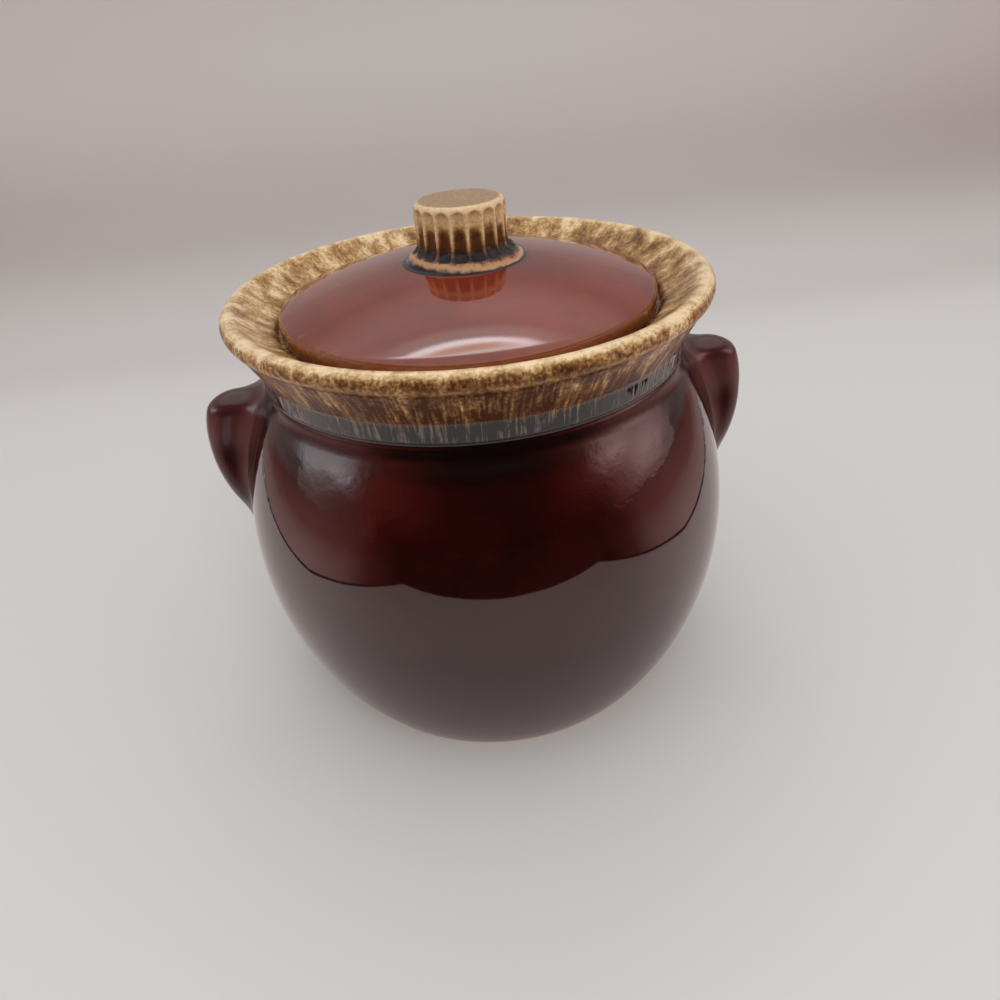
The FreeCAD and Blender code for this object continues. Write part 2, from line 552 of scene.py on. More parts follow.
@dataclass(frozen=True)
class Fleck:
    """One pattern of the mottled glaze: its width in millimetres, and how it is drawn out down the wall."""

    width: float
    stretch: float
    detail: float
    gain: float

    def lay(self, surface: Surface, run: Value) -> Socket:
        """The pattern, from 0 to 1, for a distance down the wall."""
        place = surface.around(run, self.stretch)
        return surface.clouds(place, self.width, detail=self.detail, rough=FLECK_ROUGH)


@dataclass(frozen=True)
class Clay:
    """Bare fired stoneware where no glaze is."""

    colour: Colour = (0.50, 0.36, 0.24)
    roughness: float = 0.75


BODY_GLAZE = BrownGlaze(
    thick=(0.010, 0.0014, 0.0018), thin=(0.030, 0.0036, 0.0027), patch_edge=(0.3, 0.6), ior=1.85
)
BAND_GLAZE = replace(BODY_GLAZE, ior=1.72, mirror_tint=(0.88, 0.98, 0.95))
# The ears' thin colour is partly thinner glaze and partly a painted reflection of the mauve room on their
# tops.
LUG_GLAZE_AND_SHEEN = BrownGlaze(thick=(0.014, 0.0018, 0.0022), thin=(0.060, 0.016, 0.017), gloss=0.2)
LID_GLAZE = BrownGlaze(thick=(0.18, 0.025, 0.012), thin=(0.25, 0.038, 0.018), patch=22.0, mirror_tint=WHITE)
FOAM = FoamGlaze()
RUNS = Fleck(width=1.0, stretch=11.0, detail=4.0, gain=2.6)
BLOTS = Fleck(width=6.2, stretch=1.4, detail=5.0, gain=2.6)
THIN_RUNS = Fleck(width=0.6, stretch=14.0, detail=3.0, gain=0.7)
CLAY = Clay()

# How far the rings of glaze round the knob are shifted towards +X, in millimetres.
KNOB_LEAN = 0.9

# Where the mottled glaze starts inside the collar, and where it and the neck band end, in millimetres from
# the crest of the lip, out and down the outside being positive.
COLLAR_START = -24.0
COLLAR_END = 20.1
BAND_END = 26.6

# How the collar's glaze changes with that distance. Each stop holds the tone, then how much the runs, the
# blots and the speckle change it.
COLLAR_CHART = [
    # The first two stops, down by the lid's seat, are dark as painted shade in the crevice round the lid.
    (COLLAR_START, (0.02, 0.2, 0.3, 0.2)),
    (-20.0, (0.10, 0.2, 0.6, 0.3)),
    (-17.0, (0.40, 0.14, 0.8, 0.3)),
    (-11.0, (0.60, 0.10, 0.85, 0.3)),
    (-5.0, (0.68, 0.08, 0.85, 0.3)),
    (-2.0, (0.76, 0.06, 0.8, 0.3)),
    (0.9, (0.98, 0.05, 0.4, 0.2)),
    (2.0, (0.80, 0.12, 0.4, 0.35)),
    (3.4, (0.34, 0.25, 0.7, 0.6)),
    (5.4, (0.26, 0.3, 0.6, 0.6)),
    (6.3, (0.48, 0.2, 0.4, 0.4)),
    (7.0, (0.56, 0.2, 0.4, 0.3)),
    (8.4, (0.20, 0.5, 0.9, 0.5)),
    (14.0, (0.11, 0.8, 0.9, 0.35)),
    (19.5, (0.08, 0.8, 0.8, 0.25)),
    (21.0, (0.02, 0.9, 0.5, 0.1)),
    (26.0, (0.02, 0.9, 0.5, 0.1)),
    (29.0, (0.0, 0.4, 0.2, 0.0)),
]


@dataclass
class PotBody:
    """The pot's wall: foot, belly, neck, flared collar and the recess that carries the lid."""

    belly_height: float = 0.060
    body_curve: float = 0.109
    wall: float = 0.006
    floor_thickness: float = 0.0075
    floor_round: float = 0.014
    foot_edge_round: float = 0.0015
    foot_ring_radius: float = 0.054
    foot_recess: float = 0.0016
    foot_recess_slope: float = 0.0018
    neck_radius: float = 0.0682
    shoulder_cove: float = 0.012
    neck_band: float = 0.0067
    neck_flare: float = 0.0007
    neck_round: float = 0.0035
    rim_radius: float = 0.0763
    lip_round: float = 0.0028
    lip_underside_angle: float = 52.0
    funnel_curve: float = 0.045
    funnel_foot_radius: float = 0.0628
    pocket_radius: float = 0.061
    pocket_round: float = 0.0025
    seat_drop: float = 0.0098
    seat_round: float = 0.0008
    throat_radius: float = 0.0565
    ledge_thickness: float = 0.0062
    bead_height: float = 0.00028
    bead_spread: float = 0.0009
    crease_depth: float = 0.0004
    crease_spread: float = 0.0008
    unevenness: float = 0.00012
    hollow_size: float = 0.04
    steps: int = 256
    fine: float = 0.0004
    coarse: float = 0.0025

    # The brown coat. Heights from the table and distances from the crest are in millimetres.
    thin_from: Span = (46.0, 74.0)
    thin_until: Span = (92.0, 106.0)
    thin_least: float = 0.15
    thin_gain: float = 0.65
    foot_stain: Span = (1.6, 6.0)
    foot_stain_colour: Colour = (0.20, 0.070, 0.025)
    bare_foot: Span = (0.8, 1.6)
    # The cove's span and its near-black colour are painted shade, as cast by the collar above it.
    cove_from: Span = (25.5, 27.0)
    cove_until: Span = (33.0, 41.0)
    cove_shade_colour: Colour = (0.002, 0.0012, 0.0015)
    cove_roughness: float = 0.2
    lump_size: float = 4.5
    lumps_from: Span = (84.0, 102.0)
    lump_relief: float = 3.2

    # The collar and the neck band. Distances from the crest are in millimetres, and sides go from -1 to 1.
    speckle_size: float = 1.1
    speckle_edge: Span = (0.34, 0.66)
    speckle_gain: float = 0.7
    flank_from: Span = (0.15, 0.75)
    pale_from: Span = (1.2, 2.6)
    pale_share: Ramp = (6.0, 9.0, 0.22, 0.14)
    dry_share: Span = (0.02, 0.12)
    dark_side: Span = (0.3, 0.9)
    dark_share: Ramp = (-6.0, -2.0, 0.15, 0.0)
    # Where the mottle gives way to the dark brown inner glaze, which also stands as painted shade in the
    # crevice round the lid.
    crevice_shade_edge: Span = (-22.5, -19.5)
    band_cover: Span = (0.02, 0.42)
    band_fade: Ramp = (BAND_END - 1.2, BAND_END, 0.9, 0.4)
    mottle_fade: Ramp = (COLLAR_END, COLLAR_END + 3.2, 0.9, -0.4)
    mottle_edge: Span = (0.3, 0.9)

    def __post_init__(self) -> None:
        """Take the main sizes from the frame and work out the places that follow."""
        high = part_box("pot_body")[1]
        self.belly_radius = high.x
        self.rim_height = high.z
        self.body_centre = at(self.belly_radius - self.body_curve, self.belly_height)
        cove_reach = self.neck_radius + self.shoulder_cove - self.body_centre.x
        cove_rise = math.sqrt((self.body_curve + self.shoulder_cove) ** 2 - cove_reach**2)
        self.cove_centre = at(self.neck_radius + self.shoulder_cove, self.belly_height + cove_rise)
        self.to_cove = (self.cove_centre - self.body_centre).normalized()
        self.lip_centre = at(self.rim_radius - self.lip_round, self.rim_height - self.lip_round)
        self.seat_height = self.rim_height - self.seat_drop

    def off_wall(self, point: Vector) -> float:
        """Measure from the outside of the belly, shoulder and cove.

        Args:
            point: Any point.

        Returns:
            Its distance, negative in the clay.
        """
        flat = at(math.hypot(point.x, point.y), point.z)
        away = flat - self.body_centre
        if away.cross(self.to_cove).dot(DEEP) > 0:
            return self.shoulder_cove - (flat - self.cove_centre).length
        return away.length - self.body_curve

    def draw_outside(self, outline: Outline) -> None:
        """Draw from the foot ring up the outside to the ridge under the lip.

        Args:
            outline: The chain, which has come to the foot ring.
        """
        edge_height = self.foot_edge_round
        edge_reach = math.sqrt((self.body_curve - edge_height) ** 2 - (self.belly_height - edge_height) ** 2)
        edge_centre = at(self.body_centre.x + edge_reach, edge_height)
        edge_end = self.body_centre + (edge_centre - self.body_centre).normalized() * self.body_curve
        ridge_turn = math.radians(self.lip_underside_angle)
        ridge_way = at(math.cos(ridge_turn), -math.sin(ridge_turn))
        ridge = self.lip_centre + ridge_way * self.lip_round
        band_bottom = at(self.neck_radius, self.cove_centre.z)
        band_top = at(self.neck_radius + self.neck_flare, self.cove_centre.z + self.neck_band)
        outline.line_to(at(edge_centre.x, 0.0))
        outline.spacing = self.fine
        outline.arc_to(edge_centre, edge_end)
        outline.spacing = self.coarse
        outline.arc_to(self.body_centre, self.body_centre + self.to_cove * self.body_curve)
        outline.spacing = self.fine
        outline.arc_to(self.cove_centre, band_bottom)
        outline.turn_at(band_top, ridge, self.neck_round)
        outline.line_to(ridge)
        outline.swell(ridge, ridge_way * self.bead_height, self.bead_spread)
        outline.swell(band_bottom, at(-self.crease_depth, 0.0), self.crease_spread)

    def draw_collar_inside(self, outline: Outline) -> None:
        """Draw over the lip, down the slightly hollow funnel, round the seat and under the ledge.

        Args:
            outline: The chain, which has come to the ridge under the lip.
        """
        pocket_top = at(self.pocket_radius, self.seat_height + self.foot_recess)
        reach = self.funnel_curve
        funnel_centre = meet(pocket_top, reach, self.lip_centre, reach + self.lip_round)
        funnel_start = self.lip_centre + (funnel_centre - self.lip_centre).normalized() * self.lip_round
        foot_rise = math.sqrt(reach**2 - (self.funnel_foot_radius - funnel_centre.x) ** 2)
        funnel_foot = at(self.funnel_foot_radius, funnel_centre.z - foot_rise)
        slope = (self.funnel_foot_radius - funnel_centre.x) / foot_rise
        corner = at(self.pocket_radius, funnel_foot.z - slope * (funnel_foot.x - self.pocket_radius))
        pocket_bottom = at(self.pocket_radius, self.seat_height)
        throat_top = at(self.throat_radius, self.seat_height)
        throat_bottom = at(self.throat_radius, self.seat_height - self.ledge_thickness)
        inner_neck = self.neck_radius - self.wall
        under_ledge = at(inner_neck, throat_bottom.z - (inner_neck - self.throat_radius))
        outline.arc_to(self.lip_centre, at(self.lip_centre.x, self.rim_height))
        outline.arc_to(self.lip_centre, funnel_start)
        outline.arc_to(funnel_centre, funnel_foot)
        outline.turn_at(corner, pocket_bottom, self.pocket_round)
        outline.turn_at(pocket_bottom, throat_top, self.seat_round)
        outline.turn_at(throat_top, throat_bottom, self.seat_round)
        outline.turn_at(throat_bottom, under_ledge, self.seat_round)
        outline.spacing = self.coarse
        outline.line_to(under_ledge)
        outline.line_to(at(inner_neck, self.cove_centre.z))

    def build(self) -> Piece:
        """Build the wall as one turned piece, its faces shared out between the three coats.

        Returns:
            The new piece.
        """
        outline = Outline(at(0.0, self.foot_recess), self.coarse)
        outline.line_to(at(self.foot_ring_radius - self.foot_recess_slope, self.foot_recess))
        outline.line_to(at(self.foot_ring_radius, 0.0))
        self.draw_outside(outline)
        self.draw_collar_inside(outline)
        inner_curve = self.body_curve - self.wall
        corner_height = self.floor_thickness + self.floor_round
        corner_drop = self.belly_height - corner_height
        corner_reach = math.sqrt((inner_curve - self.floor_round) ** 2 - corner_drop**2)
        corner = at(self.body_centre.x + corner_reach, corner_height)
        to_corner = (corner - self.body_centre).normalized()
        outline.arc_to(self.cove_centre, self.body_centre + self.to_cove * inner_curve)
        outline.arc_to(self.body_centre, self.body_centre + to_corner * inner_curve)
        outline.arc_to(corner, at(corner.x, self.floor_thickness))
        outline.line_to(at(0.0, self.floor_thickness))
        outline.measure_run()
        mesh = outline.turned(self.steps)
        run = mesh.verts.layers.float[Layer.RUN.value]
        for face in mesh.faces:
            middle = sum(vert[run] for vert in face.verts) / len(face.verts)
            face.material_index = (COLLAR_START < middle < BAND_END) + (COLLAR_END < middle < BAND_END)
        settle(mesh, self.unevenness, self.hollow_size)
        return make_piece("glazed_pot", mesh, Body.POT, Slot.BROWN, "pot_body")

    def dress(self, piece: Piece) -> None:
        """Glaze the pot: brown all over, mottled on the collar, thin pale runs on the neck band."""
        for coat in (self.brown_coat, self.collar_coat, self.band_coat):
            piece.data.materials.append(coat())

    def foam_tone(self, surface: Surface, run: Value) -> tuple[Socket, Socket]:
        """Work out how light the mottled glaze is.

        Args:
            surface: The material.
            run: Distance from the crest of the lip, in millimetres.

        Returns:
            The tone from 0, brown, to 1, cream, and the blots that raise the skin.
        """
        chart = surface.chart(run, COLLAR_CHART)
        tone, *shares = surface.add("SeparateColor", {0: chart.outputs[0]}).outputs
        speckle = surface.clouds(surface.place, self.speckle_size, rough=FLECK_ROUGH)
        blots = BLOTS.lay(surface, run)
        patterns = (RUNS.lay(surface, run), blots, surface.rise(speckle, *self.speckle_edge))
        gains = (RUNS.gain, BLOTS.gain, self.speckle_gain)
        for pattern, share, gain in zip(patterns, (*shares, chart.outputs[1]), gains):
            tone = surface.plus(tone, surface.times(surface.centred(pattern), gain), share)
        return tone, blots

    def brown_coat(self) -> Material:
        """Mix the brown glaze: redder on the shoulder, painted shade in the cove, with bare clay under the
        foot.

        Returns:
            The material.
        """
        surface = Surface("pot_glaze")
        height = surface.height
        above, below = surface.rise(height, *self.thin_from), surface.fall(height, *self.thin_until)
        shoulder = surface.plus(self.thin_least, surface.times(above, below), self.thin_gain)
        colour = BODY_GLAZE.colour(surface, surface.times(BODY_GLAZE.patches(surface), shoulder))
        colour = surface.mix(surface.fall(height, *self.foot_stain), colour, self.foot_stain_colour)
        clay = surface.fall(height, *self.bare_foot)
        colour = surface.mix(clay, colour, CLAY.colour)
        run = surface.carried(Layer.RUN)
        cove = surface.times(surface.rise(run, *self.cove_from), surface.fall(run, *self.cove_until))
        # Painted shade: the cove under the collar takes a near-black colour.
        colour = surface.mix(cove, colour, self.cove_shade_colour)
        roughness = surface.blend(cove, BODY_GLAZE.gloss, self.cove_roughness)
        roughness = surface.blend(clay, roughness, CLAY.roughness)
        lumps = surface.clouds(surface.place, self.lump_size, detail=3.0)
        lumps = surface.times(lumps, surface.rise(height, *self.lumps_from))
        relief = surface.plus(surface.skin(), lumps, self.lump_relief)
        return surface.finish(colour, roughness, relief, BODY_GLAZE.ior, BODY_GLAZE.mirror_tint)

    def collar_coat(self) -> Material:
        """Mix the mottled glaze of the funnel, the lip and the collar's flank.

        Returns:
            The material.
        """
        surface = Surface("collar_glaze")
        run = surface.carried(Layer.RUN)
        tone, blots = self.foam_tone(surface, run)
        across = surface.parts(surface.heading)[0]
        flank = surface.rise(surface.maths("ABSOLUTE", across), *self.flank_from)
        under_lip = surface.times(surface.rise(run, *self.pale_from), surface.rise(run, *self.pale_share))
        paler = surface.times(flank, under_lip)
        darker = surface.times(surface.rise(across, *self.dark_side), surface.rise(run, *self.dark_share))
        colour = FOAM.colour(surface, surface.less(surface.plus(tone, paler), darker))
        # Painted shade: down towards the lid's seat the mottle gives way to dark brown, darkening the
        # crevice round the lid.
        colour = surface.mix(surface.rise(run, *self.crevice_shade_edge), BODY_GLAZE.thick, colour)
        roughness = surface.rise(paler, *self.dry_share, FOAM.gloss, FOAM.dry)
        relief = surface.plus(surface.skin(), blots, FOAM.blot_relief)
        return surface.finish(colour, roughness, relief, FOAM.ior)

    def band_coat(self) -> Material:
        """Mix the neck band's glaze: brown under thin pale runs that have come down from the collar.

        Returns:
            The material.
        """
        surface = Surface("band_glaze")
        run = surface.carried(Layer.RUN)
        tone, blots = self.foam_tone(surface, run)
        tone = surface.plus(tone, surface.centred(THIN_RUNS.lay(surface, run)), THIN_RUNS.gain)
        cover = surface.times(surface.rise(tone, *self.band_cover), surface.rise(run, *self.band_fade))
        colour = surface.mix(cover, BAND_GLAZE.thick, FOAM.thinned)
        mottle = surface.plus(tone, surface.rise(run, *self.mottle_fade))
        mottle = surface.rise(mottle, *self.mottle_edge)
        colour = surface.mix(mottle, colour, FOAM.colour(surface, tone))
        roughness = surface.blend(surface.maths("MAXIMUM", cover, mottle), BAND_GLAZE.gloss, FOAM.gloss)
        relief = surface.plus(surface.skin(), surface.times(blots, cover), FOAM.blot_relief)
        return surface.finish(colour, roughness, relief, BAND_GLAZE.ior, BAND_GLAZE.mirror_tint)


@dataclass
class Lug:
    """A solid ear on the shoulder, flat on its faces and top, with its root run into the wall."""

    pot: PotBody
    side_curve: float = 0.037
    middle_rise: float = 0.0345
    corner_round: float = 0.0065
    edge_round: float = 0.0062
    low_blend: float = 0.0042
    high_blend: float = 0.0090
    blend_start: float = 0.074
    blend_reach: float = 0.024
    sink: float = 0.0003
    sink_start: float = 0.6
    fullness: float = 0.0018
    lean: float = 0.19
    lean_low: float = 0.062
    lean_high: float = 0.092
    lean_end: float = 0.006
    taper: float = 0.10
    taper_start: float = 0.078
    core: Vector = field(default_factory=lambda: at(0.040, 0.095))
    spread: float = 0.9
    segments: int = 90
    relaxing_rounds: int = 10
    cast_steps: int = 60
    pull_rounds: int = 2
    nudge: float = 1e-5
    root_depth: float = 0.003

    # Where the glaze lies thin and a painted reflection of the mauve room lightens it, in millimetres from
    # the top, and how far that line wanders.
    thin_from: Span = (-17.0, -10.0)
    wave_size: float = 9.0
    wave_reach: float = 4.0

    def __post_init__(self) -> None:
        """Take the reach, top and thickness from the frame, and set the small moves that find a slope."""
        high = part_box("right_lug")[1]
        self.top = high.z
        self.half_thickness = high.y
        self.centre = at(high.x - self.side_curve, self.pot.belly_height + self.middle_rise)
        self.nudges = [Vector(row) * self.nudge for row in Matrix.Identity(3)]

    def off_ear(self, point: Vector) -> float:
        """Measure from the ear by itself.

        Args:
            point: Any point.

        Returns:
            Its distance, negative inside.
        """
        flat = at(point.x, point.z)
        off_side = (flat - self.centre).length - self.side_curve
        profile = self.rounded(off_side, point.z - self.top, self.corner_round)
        risen = min(max(point.z, self.lean_low), self.lean_high) - self.lean_low
        past = min(max(point.z - self.lean_high, 0.0), self.lean_end)
        leaned = self.lean * (risen + past - past * past / (2 * self.lean_end))
        tapered = self.taper * (point.x - self.taper_start)
        face = self.half_thickness + self.fullness - leaned - tapered
        return self.rounded(profile, abs(point.y) - face, self.edge_round)

    @staticmethod
    def rounded(first: float, second: float, rounding: float) -> float:
        """Distance from what lies inside two surfaces, with their shared edge rounded."""
        outer = math.hypot(max(first + rounding, 0.0), max(second + rounding, 0.0))
        return min(-rounding, max(first, second)) + outer

    def off_skin(self, point: Vector) -> float:
        """Measure from the ear and the wall run together, just under the wall away from the ear.

        Args:
            point: Any point.

        Returns:
            Its distance, negative inside.
        """
        ear = self.off_ear(point)
        wall = self.pot.off_wall(point)
        climb = soft_step((point.z - self.blend_start) / self.blend_reach)
        blend = self.low_blend + (self.high_blend - self.low_blend) * climb
        near = max(blend - abs(ear - wall), 0.0) / blend
        blended = min(ear, wall) - near * near * blend / 4
        return blended + self.sink * soft_step((ear - wall) / blend - self.sink_start)

    def cast(self, direction: Vector) -> Vector:
        """Go from the core to the skin.

        Args:
            direction: The way to go.

        Returns:
            The skin's point.
        """
        point = self.core.copy()
        for _ in range(self.cast_steps):
            step = -self.off_skin(point)
            point += direction * step
            if abs(step) < SAME_PLACE:
                break
        return point

    def pull(self, vert: Point) -> None:
        """Move a point of the mesh square onto the skin.

        Args:
            vert: The point.
        """
        for _ in range(self.pull_rounds):
            here = self.off_skin(vert.co)
            slope = Vector((self.off_skin(vert.co + step) - here) / self.nudge for step in self.nudges)
            vert.co -= slope * (here / slope.length_squared)

    def build(self, name: str, side: int) -> Piece:
        """Build one ear.

        Args:
            name: The frame's node that it stands for.
            side: 1 for the ear on the +X side, -1 for the other.

        Returns:
            The new piece.
        """
        mesh = bmesh.new()
        bmesh.ops.create_grid(mesh, x_segments=self.segments, y_segments=self.segments, size=self.spread)
        inner = [vert for vert in mesh.verts if not vert.is_boundary]
        for vert in mesh.verts:
            vert.co = self.cast(Vector((1.0, vert.co.x, vert.co.y)).normalized())
        for _ in range(self.relaxing_rounds):
            bmesh.ops.smooth_vert(
                mesh, verts=inner, factor=0.5, use_axis_x=True, use_axis_y=True, use_axis_z=True
            )
            for vert in inner:
                self.pull(vert)
        self.close_root(mesh)
        if side < 0:
            half_turn = Matrix.Rotation(math.pi, 3, "Z")
            bmesh.ops.rotate(mesh, verts=mesh.verts[:], cent=ORIGIN, matrix=half_turn)
        return make_piece("glazed_" + name, mesh, Body.POT, Slot.BROWN, name)

    def close_root(self, mesh: Mesh) -> None:
        """Take the border back into the clay and close the ear there.

        Args:
            mesh: The ear, open at its root.
        """
        made = bmesh.ops.extrude_edge_only(mesh, edges=[edge for edge in mesh.edges if edge.is_boundary])
        for vert in new_points(made["geom"]):
            vert.co -= Vector((vert.co.x, vert.co.y, 0.0)).normalized() * self.root_depth
        bmesh.ops.holes_fill(mesh, edges=[edge for edge in mesh.edges if edge.is_boundary])
        bmesh.ops.recalc_face_normals(mesh, faces=mesh.faces[:])

    def dress(self, *pieces: Piece) -> None:
        """Glaze the ears brown, redder towards the top, where thinner glaze and a painted reflection of the
        room lighten them.

        Args:
            *pieces: The ears.
        """
        surface = Surface("lug_glaze")
        wave = surface.clouds(surface.place, self.wave_size, detail=3.0)
        level = surface.plus(surface.height, wave, self.wave_reach)
        from_top = surface.less(level, self.top * PER_METRE)
        # Painted reflection, partly thinner glaze: the colour lightens to mauve-red towards the top.
        colour = LUG_GLAZE_AND_SHEEN.colour(surface, surface.rise(from_top, *self.thin_from))
        glaze = LUG_GLAZE_AND_SHEEN
        material = surface.finish(colour, glaze.gloss, surface.skin(), glaze.ior, glaze.mirror_tint)
        for piece in pieces:
            piece.data.materials.append(material)


@dataclass
class Lid:
    """The domed lid with its seat and locating flange."""

    crown_curve: float = 0.166
    shoulder_round: float = 0.0022
    edge_round: float = 0.001
    rise: float = 0.0165
    thickness: float = 0.0055
    flange_radius: float = 0.055
    flange_thickness: float = 0.005
    flange_edge_round: float = 0.0012
    flange_root_round: float = 0.003
    unevenness: float = 0.00012
    hollow_size: float = 0.035
    steps: int = 256
    fine: float = 0.0005
    coarse: float = 0.0018

    # The glaze. Radii from the axis and heights from the table are in millimetres.
    wave_size: float = 5.0
    wave_reach: float = 3.0
    edge_from: Span = (59.8, 61.2)
    edge_height: Span = (134.6, 135.4)
    edge_colour: Colour = (0.23, 0.070, 0.022)
    edge_share: float = 0.8
    spatter_size: float = 2.4
    spatter_edge: Span = (0.50, 0.66)
    spatter_from: Span = (57.0, 60.5)
    spatter_side: Span = (-46.0, -32.0)
    spatter_share: float = 0.75
    pool_wave: float = 1.6
    pool_until: Span = (19.6, 21.4)
    pool_colour: Colour = (0.03, 0.028, 0.034)
    pool_share: float = 0.85
    bare_height: Span = (134.3, 134.8)
    bare_from: Span = (49.0, 50.2)

    def __post_init__(self) -> None:
        """Take the main sizes from the frame."""
        low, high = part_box("lid")
        self.radius = high.x
        self.apex = high.z
        self.flange_bottom = low.z
        self.underside = self.apex - self.rise
        self.crown_centre = at(0.0, self.apex - self.crown_curve)

    def crown_height(self, radius: float) -> float:
        """Height of the crown at a radius."""
        return self.crown_centre.z + math.sqrt(self.crown_curve**2 - radius**2)

    def corner(self, curve: float, upright: float, rounding: float) -> tuple[Vector, Vector]:
        """Round off the corner between a crown arc and an upright wall.

        Args:
            curve: Radius of the arc.
            upright: Radius of the wall.
            rounding: Radius of the round.

        Returns:
            Centre of the round, and its end on the arc.
        """
        across = upright - rounding
        centre = at(across, self.crown_centre.z + math.sqrt((curve - rounding) ** 2 - across**2))
        return centre, self.crown_centre + (centre - self.crown_centre).normalized() * curve

    def build(self) -> Piece:
        """Build the lid as one turned piece.

        Returns:
            The new piece.
        """
        inner_curve = self.crown_curve - self.thickness
        flange_inside = self.flange_radius - self.flange_thickness
        shoulder, crown_end = self.corner(self.crown_curve, self.radius, self.shoulder_round)
        root, inner_end = self.corner(inner_curve, flange_inside, self.flange_root_round)
        seat_inner = at(self.flange_radius, self.underside)
        flange_outer_foot = at(self.flange_radius, self.flange_bottom)
        flange_inner_foot = at(flange_inside, self.flange_bottom)
        outline = Outline(at(0.0, self.apex), self.coarse)
        outline.arc_to(self.crown_centre, crown_end)
        outline.spacing = self.fine
        outline.arc_to(shoulder, at(self.radius, shoulder.z))
        outline.turn_at(at(self.radius, self.underside), seat_inner, self.edge_round)
        outline.line_to(seat_inner)
        outline.turn_at(flange_outer_foot, flange_inner_foot, self.flange_edge_round)
        outline.turn_at(flange_inner_foot, at(flange_inside, root.z), self.flange_edge_round)
        outline.line_to(at(flange_inside, root.z))
        outline.arc_to(root, inner_end)
        outline.spacing = self.coarse
        outline.arc_to(self.crown_centre, at(0.0, self.apex - self.thickness))
        mesh = outline.turned(self.steps)
        settle(mesh, self.unevenness, self.hollow_size)
        return make_piece("glazed_lid", mesh, Body.LID, Slot.BROWN, "lid")

    def dress(self, piece: Piece) -> None:
        """Glaze the lid red-brown, breaking to orange on its shoulder, and leave the seat bare.

        Args:
            piece: The lid.
        """
        surface = Surface("lid_glaze")
        height = surface.height
        colour = LID_GLAZE.colour(surface, LID_GLAZE.patches(surface))
        wave = surface.clouds(surface.place, self.wave_size, detail=3.0)
        reach = surface.plus(surface.radius, wave, self.wave_reach)
        edge = surface.times(surface.rise(reach, *self.edge_from), surface.rise(height, *self.edge_height))
        colour = surface.mix(surface.times(edge, self.edge_share), colour, self.edge_colour)
        spatter = surface.clouds(surface.place, self.spatter_size, detail=5.0, rough=0.65)
        spatter = surface.rise(spatter, *self.spatter_edge)
        spatter = surface.times(spatter, surface.rise(reach, *self.spatter_from))
        spatter = surface.times(spatter, surface.fall(surface.across, *self.spatter_side))
        colour = surface.mix(surface.times(spatter, self.spatter_share), colour, FOAM.caramel)
        around = surface.plus(surface.off_centre(KNOB_LEAN), wave, self.pool_wave)
        pool = surface.times(surface.fall(around, *self.pool_until), self.pool_share)
        colour = surface.mix(pool, colour, self.pool_colour)
        clay = surface.rise(surface.radius, *self.bare_from)
        clay = surface.times(clay, surface.fall(height, *self.bare_height))
        colour = surface.mix(clay, colour, CLAY.colour)
        roughness = surface.blend(clay, LID_GLAZE.gloss, CLAY.roughness)
        material = surface.finish(colour, roughness, surface.skin(), LID_GLAZE.ior, LID_GLAZE.mirror_tint)
        piece.data.materials.append(material)


